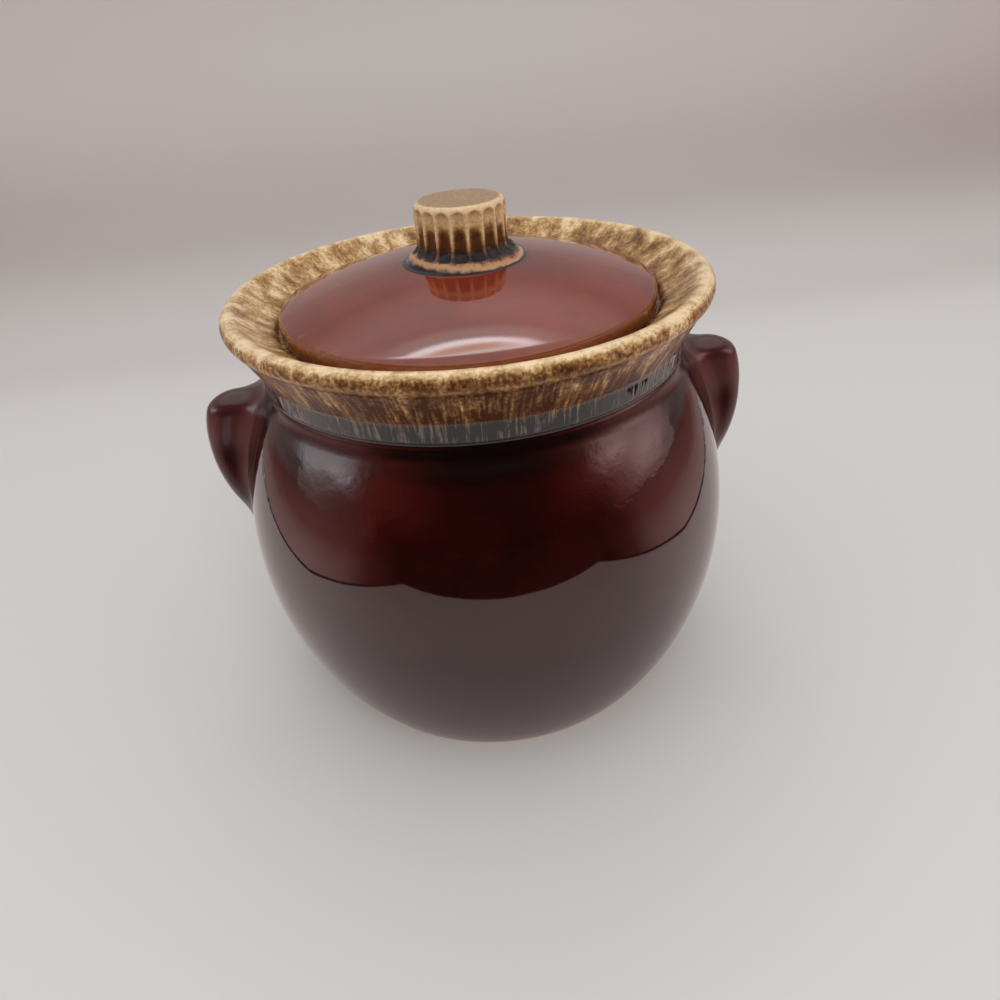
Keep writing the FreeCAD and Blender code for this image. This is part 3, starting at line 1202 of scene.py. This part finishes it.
@dataclass
class Knob:
    """The fluted knob on its spread foot."""

    lid: Lid
    top_radius: float = 0.0139
    waist_radius: float = 0.0141
    waist_rise: float = 0.0016
    top_round: float = 0.0019
    foot_slope: float = 0.0018
    foot_height: float = 0.0024
    waist_round: float = 0.0024
    foot_round: float = 0.0014
    skirt: float = 0.0014
    bedding: float = 0.0003
    flute_count: int = 18
    flute_bearing: float = 4.0
    flute_half_width: float = 0.00215
    flute_depth: float = 0.0011
    flute_fullness: float = 0.6
    flute_top_land: float = 0.0012
    flute_bottom_rise: float = 0.0040
    flute_run_out: float = 0.45
    fluted: Span = (0.8, 1.15)
    steps_per_flute: int = 24
    fine: float = 0.00035
    coarse: float = 0.001

    # The glaze. Places from the top and from the foot's upper edge, and radii, are in millimetres.
    grain_size: float = 0.9
    wave_size: float = 2.6
    wave_reach: float = 5.0
    ring_wave: float = 1.6
    ring_grain: float = 2.0
    rib_tone: float = 0.90
    tone_grain: float = 0.6
    flute_edge: Span = (0.05, 0.9)
    flute_tone: Ramp = (-8.4, -4.6, 0.80, 0.12)
    middle_tone: Ramp = (11.6, 13.0, 0.40, 0.0)
    middle_height: Span = (-0.5, -0.1)
    low_tone: Ramp = (2.0, 8.0, 0.42, 0.0)
    ring_from: Span = (14.6, 15.4)
    ring_edge: Span = (15.8, 17.0)
    ring_inner: Colour = (0.20, 0.065, 0.028)
    ring_outer: Colour = (0.60, 0.33, 0.17)
    pool_height: Span = (0.4, 4.6)
    pool_until: Span = (15.3, 16.8)
    pool_edge: Span = (17.3, 18.2)
    pool_colour: Colour = (0.018, 0.016, 0.021)
    wave_relief: float = 3.0
    grain_relief: float = 9.0
    gloss: float = 0.10
    pool_gloss: float = 0.22

    def __post_init__(self) -> None:
        """Take the main sizes from the frame."""
        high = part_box("lid_knob")[1]
        self.top = high.z
        self.foot_radius = high.x
        self.foot_rest = self.lid.crown_height(self.foot_radius)

    def flute(self, point: Vector) -> float:
        """Measure how deep in a flute a point lies.

        Args:
            point: A point of the knob's side.

        Returns:
            0 on a rib, up to 1 at the bottom of the hollow.
        """
        pitch = FULL_TURN / self.flute_count
        turn = math.atan2(point.y, point.x) - math.radians(self.flute_bearing)
        across = ((turn + pitch / 2) % pitch - pitch / 2) * math.hypot(point.x, point.y)
        high = self.top - self.flute_top_land - self.flute_half_width
        low = self.foot_rest + self.flute_bottom_rise
        beyond = max(point.z - high, (low - point.z) * self.flute_run_out, 0.0)
        share = math.hypot(across, beyond) / self.flute_half_width
        return max(0.0, 1 - share**2) ** self.flute_fullness

    def build(self) -> Piece:
        """Build the knob: a turned piece whose side is then hollowed into flutes.

        Returns:
            The new piece.
        """
        crown_edge = at(self.foot_radius, self.foot_rest)
        foot_top = at(self.foot_radius - self.foot_slope, crown_edge.z + self.foot_height)
        waist = at(self.waist_radius, foot_top.z + self.waist_rise)
        skirt_radius = self.foot_radius + self.skirt
        skirt_end = at(skirt_radius, self.lid.crown_height(skirt_radius))
        bed = self.lid.crown_curve - self.bedding
        bed_edge = self.lid.crown_centre + (skirt_end - self.lid.crown_centre).normalized() * bed
        outline = Outline(at(0.0, self.top), self.fine)
        outline.turn_at(at(self.top_radius, self.top), waist, self.top_round)
        outline.turn_at(waist, foot_top, self.waist_round)
        outline.turn_at(foot_top, crown_edge, self.foot_round)
        outline.turn_at(crown_edge, skirt_end, self.skirt / 2)
        outline.line_to(skirt_end)
        outline.line_to(bed_edge)
        outline.spacing = self.coarse
        outline.arc_to(self.lid.crown_centre, self.lid.crown_centre + UPRIGHT * bed)
        mesh = outline.turned(self.flute_count * self.steps_per_flute)
        hollow = mesh.verts.layers.float.new(Layer.HOLLOW.value)
        near, far = (share * self.waist_radius for share in self.fluted)
        for vert in mesh.verts:
            outward = Vector((vert.co.x, vert.co.y, 0.0))
            if near < outward.length < far:
                vert[hollow] = self.flute(vert.co)
                vert.co -= outward.normalized() * (vert[hollow] * self.flute_depth)
        return make_piece("glazed_knob", mesh, Body.LID, Slot.MOTTLED, "lid_knob")

    def dress(self, piece: Piece) -> None:
        """Glaze the knob: cream on its ribs and rim, brown in its flutes, dark at its foot with a tan ring.

        Args:
            piece: The knob.
        """
        surface = Surface("knob_glaze")
        grain = surface.clouds(surface.place, self.grain_size, detail=3.0, rough=FLECK_ROUGH)
        grain = surface.centred(grain)
        wave = surface.centred(surface.clouds(surface.place, self.wave_size, detail=3.0))
        from_top = surface.less(surface.height, self.top * PER_METRE)
        from_foot = surface.less(surface.height, (self.foot_rest + self.foot_height) * PER_METRE)
        wavy_top = surface.plus(from_top, wave, self.wave_reach)
        wavy_foot = surface.plus(from_foot, wave, self.wave_reach)
        hollow = surface.rise(surface.carried(Layer.HOLLOW), *self.flute_edge)
        middle = surface.rise(surface.radius, *self.middle_tone)
        tone = surface.less(self.rib_tone, surface.times(hollow, surface.rise(wavy_top, *self.flute_tone)))
        tone = surface.less(tone, surface.times(middle, surface.rise(from_top, *self.middle_height)))
        tone = surface.less(tone, surface.rise(wavy_foot, *self.low_tone))
        foam = FOAM.colour(surface, surface.plus(tone, grain, self.tone_grain))
        around = surface.plus(surface.off_centre(KNOB_LEAN), wave, self.ring_wave)
        patchy = surface.rise(surface.plus(around, grain, self.ring_grain), *self.ring_edge)
        ring = surface.mix(patchy, self.ring_inner, self.ring_outer)
        pool = surface.fall(wavy_foot, *self.pool_height)
        pool = surface.times(pool, surface.fall(around, *self.pool_until))
        dark = surface.maths("MAXIMUM", pool, surface.rise(around, *self.pool_edge))
        colour = surface.mix(surface.rise(surface.radius, *self.ring_from), foam, ring)
        colour = surface.mix(dark, colour, self.pool_colour)
        relief = surface.plus(surface.skin(), wave, self.wave_relief)
        relief = surface.plus(relief, surface.times(grain, pool), self.grain_relief)
        roughness = surface.blend(pool, self.gloss, self.pool_gloss)
        piece.data.materials.append(surface.finish(colour, roughness, relief, FOAM.ior))


@dataclass(frozen=True)
class Glow:
    """A soft bright patch of the room, in degrees seen from the pot; azimuth 0 is the front."""

    azimuth: float
    elevation: float
    width: float
    height: float
    light: Colour
    sharpness: float = 1.0


# What the glaze mirrors of the room and of the table beyond the paper, from the front (-1) to the back (1).
ROOM_CHART = [
    (-1.0, (0.06, 0.012, 0.010)),
    (-0.92, (0.10, 0.016, 0.012)),
    (-0.80, (0.28, 0.040, 0.025)),
    (-0.60, (0.46, 0.075, 0.050)),
    (-0.30, (0.44, 0.16, 0.14)),
    (0.0, (0.50, 0.32, 0.30)),
    (0.35, (0.44, 0.37, 0.37)),
    (1.0, (0.40, 0.38, 0.37)),
]
TABLE_CHART = [
    (-1.0, (0.025, 0.008, 0.008)),
    (-0.74, (0.035, 0.010, 0.010)),
    (-0.60, (0.28, 0.09, 0.08)),
    (-0.44, (0.76, 0.44, 0.41)),
    (-0.15, (0.98, 0.66, 0.64)),
    (0.30, (0.72, 0.50, 0.48)),
    (1.0, (0.60, 0.44, 0.43)),
]


@dataclass
class Studio:
    """The floor, the backdrop, the room's light and the camera."""

    # The paper and the table beyond it, as they are seen and as the glaze mirrors them.
    floor_reach: float = 3.0
    floor_colour: Colour = (0.765, 0.755, 0.742)
    mirrored_floor: Colour = (0.80, 0.725, 0.715)
    floor_roughness: float = 0.9
    floor_shine: float = 0.1
    sheet_front: float = -0.300
    sheet_half_width: float = 0.232
    sheet_shift: float = -0.006
    sheet_flare: float = 0.45
    sheet_flare_start: float = -0.05
    edge_softness: float = 0.002
    edge_shadow: Span = (0.009, 0.0135)
    edge_colour: Colour = (0.02, 0.015, 0.015)
    table_fade: float = 0.40
    table_far: Colour = (0.72, 0.42, 0.40)
    front_shade: Ramp = (-0.28, -0.06, 0.80, 1.0)
    round_shade: Ramp = (-0.85, -0.25, 0.93, 1.15)

    # The backdrop, painted grey low down and lighter higher up, as shade and light from the ceiling.
    wall_low_shaded: Colour = (0.65, 0.62, 0.60)
    wall_high_lit: Colour = (0.83, 0.84, 0.83)
    wall_change: Span = (0.05, 0.20)
    wall_start: Span = (0.0, 0.07)
    wall_distance: float = 0.46
    wall_height: float = 0.30
    wall_fade: float = 0.06
    sweep_round: float = 0.10
    sweep_steps: int = 24

    # The room. Elevations are in degrees, and turns go from the front (-1) round to the back (1).
    background: Colour = (0.46, 0.40, 0.385)
    high_level: Colour = (0.25, 0.35, 0.4)
    high_elevation: Span = (19.0, 27.0)
    high_turn: Span = (-0.35, 0.0)
    low_level: Ramp = (-2.0, 14.0, 0.2, 1.0)
    low_turn: Span = (-0.66, -0.5)
    front_light: Colour = (0.10, 0.09, 0.09)
    round_light: Colour = (0.40, 0.375, 0.365)
    light_turn: Span = (-0.8, -0.4)
    ceiling: Colour = (0.80, 0.79, 0.775)
    ceiling_elevation: Span = (30.0, 46.0)
    glow_edge: Span = (0.0, 0.1)
    glows: tuple[Glow, ...] = (
        Glow(azimuth=-75.0, elevation=15.2, width=6.5, height=5.2, light=(1.15, 1.35, 1.45)),
        Glow(azimuth=-84.0, elevation=13.0, width=8.5, height=4.5, light=(1.1, 1.25, 1.35)),
        Glow(azimuth=-97.0, elevation=9.5, width=11.0, height=5.5, light=(1.25, 1.4, 1.5)),
        Glow(azimuth=64.0, elevation=16.8, width=10.0, height=5.0, light=(1.7, 1.4, 1.4)),
        Glow(azimuth=80.0, elevation=7.5, width=15.0, height=7.5, light=(1.4, 1.02, 1.02)),
        Glow(azimuth=180.0, elevation=59.8, width=15.0, height=2.7, light=(4.9, 4.85, 5.05), sharpness=4.0),
        Glow(azimuth=180.0, elevation=60.4, width=10.5, height=1.5, light=(-3.2, -4.0, -4.7), sharpness=2.0),
        Glow(azimuth=180.0, elevation=58.5, width=20.0, height=5.5, light=(0.62, 0.66, 0.66), sharpness=3.0),
    )

    # The lamp and the camera.
    fill_place: Vector = field(default_factory=lambda: Vector((0.1, -0.9, 0.75)))
    fill_size: float = 0.8
    fill_power: float = 4.0
    camera_place: Vector = field(default_factory=lambda: Vector((-0.01105, -0.23428, 0.21427)))
    camera_heading: float = -3.776
    camera_tilt: float = 56.18
    camera_roll: float = -5.097
    lens: float = 26.64
    sensor: float = 36.0

    def build_floor(self) -> None:
        """Lay the floor and raise the backdrop from it in one sweep."""
        mesh = bmesh.new()
        reach = self.floor_reach
        foot = self.wall_distance - self.sweep_round
        start = bmesh.ops.create_vert(mesh, co=(-reach, -reach, 0.0))["vert"]
        made = bmesh.ops.extrude_vert_indiv(mesh, verts=start)
        bmesh.ops.translate(mesh, verts=made["verts"], vec=(0.0, reach + foot, 0.0))
        made = bmesh.ops.spin(
            mesh,
            geom=made["verts"],
            cent=(-reach, foot, self.sweep_round),
            axis=ACROSS,
            angle=math.pi / 2,
            steps=self.sweep_steps,
        )
        made = bmesh.ops.extrude_vert_indiv(mesh, verts=new_points(made["geom_last"]))
        bmesh.ops.translate(mesh, verts=made["verts"], vec=(0.0, 0.0, self.wall_height - self.sweep_round))
        made = bmesh.ops.extrude_edge_only(mesh, edges=mesh.edges[:])
        bmesh.ops.translate(mesh, verts=new_points(made["geom"]), vec=(2 * reach, 0.0, 0.0))
        bmesh.ops.recalc_face_normals(mesh, faces=mesh.faces[:])
        floor = place_object("floor", mesh)
        floor.data.materials.append(self.floor_material())

    def floor_material(self) -> Material:
        """Make pale paper that goes grey low on the wall and lighter higher up, as painted shade and light;
        beyond its edges the glaze mirrors a darker table.

        Returns:
            The material.
        """
        surface = Surface("studio_paper")
        across, deep, height = surface.parts(surface.add("TexCoord").outputs["Object"])
        beyond = surface.maths("MAXIMUM", surface.less(deep, self.sheet_flare_start), 0.0)
        off = surface.maths("ABSOLUTE", surface.less(across, self.sheet_shift))
        off = surface.less(surface.plus(off, beyond, -self.sheet_flare), self.sheet_half_width)
        off = surface.maths("MAXIMUM", off, surface.less(self.sheet_front, deep))
        turn = surface.parts(surface.heading)[1]
        table = surface.chart(turn, TABLE_CHART).outputs[0]
        far = surface.rise(off, 0.0, self.table_fade)
        table = surface.mix(far, table, surface.vector("MULTIPLY", table, self.table_far))
        table = surface.mix(surface.rise(off, *self.edge_shadow), self.edge_colour, table)
        shade = surface.times(surface.rise(deep, *self.front_shade), surface.rise(turn, *self.round_shade))
        paper = surface.vector("MULTIPLY", self.mirrored_floor, shade)
        paper = surface.mix(surface.fall(off, 0.0, self.edge_softness), table, paper)
        paper = surface.mix(surface.add("LightPath").outputs["Is Camera Ray"], paper, self.floor_colour)
        # Painted light and shade: the wall is greyer low down and lighter towards its top.
        wall = surface.mix(surface.rise(height, *self.wall_change), self.wall_low_shaded, self.wall_high_lit)
        colour = surface.mix(surface.rise(height, *self.wall_start), paper, wall)
        surface.feed(surface.shader.inputs["Base Color"], colour)
        surface.feed(surface.shader.inputs["Roughness"], self.floor_roughness)
        surface.feed(surface.shader.inputs["Specular IOR Level"], self.floor_shine)
        clear = surface.add("BsdfTransparent").outputs[0]
        fade = surface.rise(height, self.wall_height - self.wall_fade, self.wall_height)
        blend = surface.add("MixShader", {0: fade, 1: surface.shader.outputs[0], 2: clear})
        surface.feed(surface.tree.nodes["Material Output"].inputs[0], blend.outputs[0])
        return surface.material

    def light_room(self) -> None:
        """Light the pot by the room: bright ceiling, grey wall behind, dark front and a few soft glows."""
        world = bpy.data.worlds.new("room")
        bpy.context.scene.world = world
        world.use_nodes = True
        graph = Graph(world.node_tree)
        way = graph.add("TexCoord").outputs["Generated"]
        elevation = graph.maths("DEGREES", graph.maths("ARCSINE", graph.parts(way)[2]))
        turn = graph.parts(graph.vector("NORMALIZE", graph.vector("MULTIPLY", way, (1.0, 1.0, 0.0))))[1]
        level = graph.mix(graph.rise(turn, *self.low_turn), graph.rise(elevation, *self.low_level), WHITE)
        high = graph.times(graph.rise(elevation, *self.high_elevation), graph.fall(turn, *self.high_turn))
        level = graph.mix(high, level, self.high_level)
        room = graph.vector("MULTIPLY", graph.chart(turn, ROOM_CHART).outputs[0], level)
        plain = graph.mix(graph.rise(turn, *self.light_turn), self.front_light, self.round_light)
        room = graph.mix(graph.add("LightPath").outputs["Is Diffuse Ray"], room, plain)
        room = graph.mix(graph.rise(elevation, *self.ceiling_elevation), room, self.ceiling)
        for glow in self.glows:
            room = graph.vector("MULTIPLY_ADD", self.glow_level(graph, way, glow), glow.light, room)
        seen = graph.add("LightPath").outputs["Is Camera Ray"]
        graph.feed(world.node_tree.nodes["Background"].inputs[0], graph.mix(seen, room, self.background))

    def glow_level(self, graph: Graph, way: Socket, glow: Glow) -> Socket:
        """Work out how much of a glow's light comes from a direction.

        Args:
            graph: The world's nodes.
            way: The direction.
            glow: The glow.

        Returns:
            The share, from 0 to 1.
        """
        tilt = Matrix.Rotation(-math.radians(glow.elevation), 3, "X")
        aim = Matrix.Rotation(math.radians(glow.azimuth), 3, "Z") @ tilt
        ahead = graph.rise(graph.vector("DOT_PRODUCT", way, aim @ -DEEP), *self.glow_edge)
        fall = 0.0
        for axis, reach in ((ACROSS, glow.width), (UPRIGHT, glow.height)):
            off = graph.vector("DOT_PRODUCT", way, aim @ axis)
            off = graph.maths("DIVIDE", off, math.sin(math.radians(reach)))
            fall = graph.plus(fall, off, off)
        soft = graph.maths("EXPONENT", graph.times(graph.maths("POWER", fall, glow.sharpness), -1.0))
        return graph.times(soft, ahead)

    def hang_fill(self) -> None:
        """Hang a large soft lamp in front, which lifts the shadows and is not mirrored."""
        data = bpy.data.lights.new("fill", "AREA")
        data.size = self.fill_size
        data.energy = self.fill_power
        lamp = bpy.data.objects.new("fill", data)
        lamp.location = self.fill_place
        lamp.rotation_euler = (-self.fill_place).to_track_quat("-Z", "Y").to_euler()
        lamp.visible_glossy = False
        bpy.context.scene.collection.objects.link(lamp)

    def place_camera(self) -> None:
        """Set the camera at the viewing angle."""
        data = bpy.data.cameras.new("camera")
        data.sensor_width = self.sensor
        data.lens = self.lens
        camera = bpy.data.objects.new("camera", data)
        bpy.context.scene.collection.objects.link(camera)
        turns = (("Z", self.camera_heading), ("X", self.camera_tilt), ("Z", self.camera_roll))
        matrix = Matrix.Translation(self.camera_place)
        for axis, angle in turns:
            matrix = matrix @ Matrix.Rotation(math.radians(angle), 4, axis)
        camera.matrix_world = matrix
        bpy.context.scene.camera = camera


def main() -> None:
    """Build and dress every piece, report it, and build the studio round the pot."""
    logging.basicConfig(level=logging.INFO)
    bpy.context.scene.view_settings.view_transform = "Standard"
    pot = PotBody()
    wall = pot.build()
    pot.dress(wall)
    lug = Lug(pot)
    ears = (lug.build("left_lug", -1), lug.build("right_lug", 1))
    lug.dress(*ears)
    lid = Lid()
    cover = lid.build()
    lid.dress(cover)
    knob = Knob(lid)
    handle = knob.build()
    knob.dress(handle)
    for piece in (wall, *ears, cover, handle):
        log.info("%s: %d faces", piece.name, len(piece.data.polygons))
    studio = Studio()
    studio.build_floor()
    studio.light_room()
    studio.hang_fill()
    studio.place_camera()


if __name__ == "__main__":
    main()
